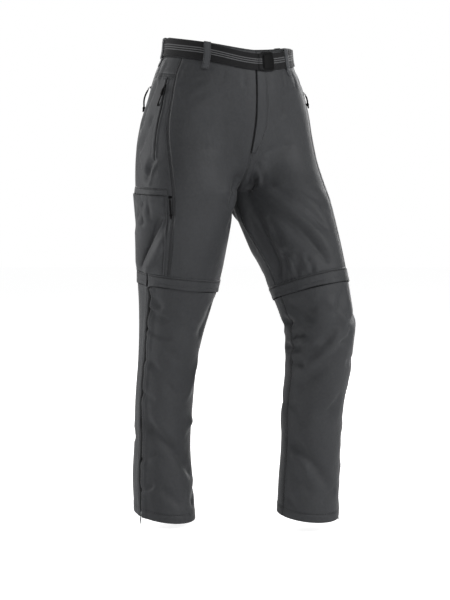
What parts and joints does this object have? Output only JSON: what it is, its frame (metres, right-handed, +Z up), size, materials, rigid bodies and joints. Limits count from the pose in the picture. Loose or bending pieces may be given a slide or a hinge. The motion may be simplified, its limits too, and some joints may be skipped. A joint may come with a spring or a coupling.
{
  "type": "convertible zip-off trousers",
  "caption": "Dark grey convertible zip-off walking trousers, worn form without a wearer, with zips round both thighs, a thigh pocket and a black webbing belt.",
  "frame": {"origin": "middle of the waist opening, where the wearer holds the garment up", "axes": "+Z up, the wearer faces -Y, and the wearer's right is -X"},
  "size_m": [0.4372, 0.3969, 1.0747],
  "materials": {
    "dark_grey_nylon": "matt, finely woven",
    "webbing": "woven strap with grey stripes",
    "zip_tape": "matt tape with a coil zip",
    "black_plastic": "satin",
    "grey_metal": "satin"
  },
  "bodies": {
    "garment": {"back_left": "dark_grey_nylon", "back_right": "dark_grey_nylon", "back_slider_right": "black_plastic", "back_zip_right": "zip_tape", "belt": "webbing", "belt_loop_back": "dark_grey_nylon", "belt_loop_front_left": "dark_grey_nylon", "belt_loop_front_right": "dark_grey_nylon", "belt_loop_side_left": "dark_grey_nylon", "belt_loop_side_right": "dark_grey_nylon", "buckle": "black_plastic", "cargo_pocket": "dark_grey_nylon", "cargo_slider": "black_plastic", "cargo_welt": "dark_grey_nylon", "fly_placket": "dark_grey_nylon", "front_left": "dark_grey_nylon", "front_right": "dark_grey_nylon", "hip_slider_left": "black_plastic", "hip_slider_right": "black_plastic", "hip_zip_left": "zip_tape", "hip_zip_right": "zip_tape", "lower_back_left": "dark_grey_nylon", "lower_back_right": "dark_grey_nylon", "lower_front_left": "dark_grey_nylon", "lower_front_right": "dark_grey_nylon", "side_left": "dark_grey_nylon", "side_right": "dark_grey_nylon", "side_slider_left": "grey_metal", "side_slider_right": "grey_metal", "side_zip_left": "zip_tape", "side_zip_right": "zip_tape", "waistband_left": "dark_grey_nylon", "waistband_right": "dark_grey_nylon", "zip_off_flap_left": "dark_grey_nylon", "zip_off_flap_right": "dark_grey_nylon", "zip_off_zip_left": "zip_tape", "zip_off_zip_right": "zip_tape"},
    "side_pull_right": {"side_pull_right": "grey_metal"},
    "side_pull_left": {"side_pull_left": "grey_metal"},
    "hip_pull_right": {"hip_pull_right": "black_plastic"},
    "hip_pull_left": {"hip_pull_left": "black_plastic"},
    "back_pull_right": {"back_pull_right": "black_plastic"},
    "cargo_pull": {"cargo_pull": "black_plastic"}
  },
  "joints": [
    {"name": "side_pull_right_hinge", "type": "hinge", "parent": "garment", "child": "side_pull_right", "pos_m": [-0.18926, 0.06132, -1.04767], "axis": [-0.238, 0.9713, 0], "range_deg": [0, 150]},
    {"name": "side_pull_left_hinge", "type": "hinge", "parent": "garment", "child": "side_pull_left", "pos_m": [0.20376, -0.14069, -1.04272], "axis": [-0.2389, -0.971, 0], "range_deg": [0, 150]},
    {"name": "hip_pull_right_hinge", "type": "hinge", "parent": "garment", "child": "hip_pull_right", "pos_m": [-0.18016, -0.03474, -0.10275], "axis": [-0.2913, 0.9206, 0.26], "range_deg": [0, 150]},
    {"name": "hip_pull_left_hinge", "type": "hinge", "parent": "garment", "child": "hip_pull_left", "pos_m": [0.18019, -0.03471, -0.11104], "axis": [-0.4031, -0.9029, 0.1493], "range_deg": [0, 150]},
    {"name": "back_pull_right_hinge", "type": "hinge", "parent": "garment", "child": "back_pull_right", "pos_m": [-0.16497, 0.06393, -0.10103], "axis": [0.5313, 0.8235, -0.199], "range_deg": [0, 150]},
    {"name": "cargo_pull_hinge", "type": "hinge", "parent": "garment", "child": "cargo_pull", "pos_m": [-0.18743, -0.07443, -0.34342], "axis": [-0.6844, 0.7277, 0.0447], "range_deg": [0, 150]}
  ]
}
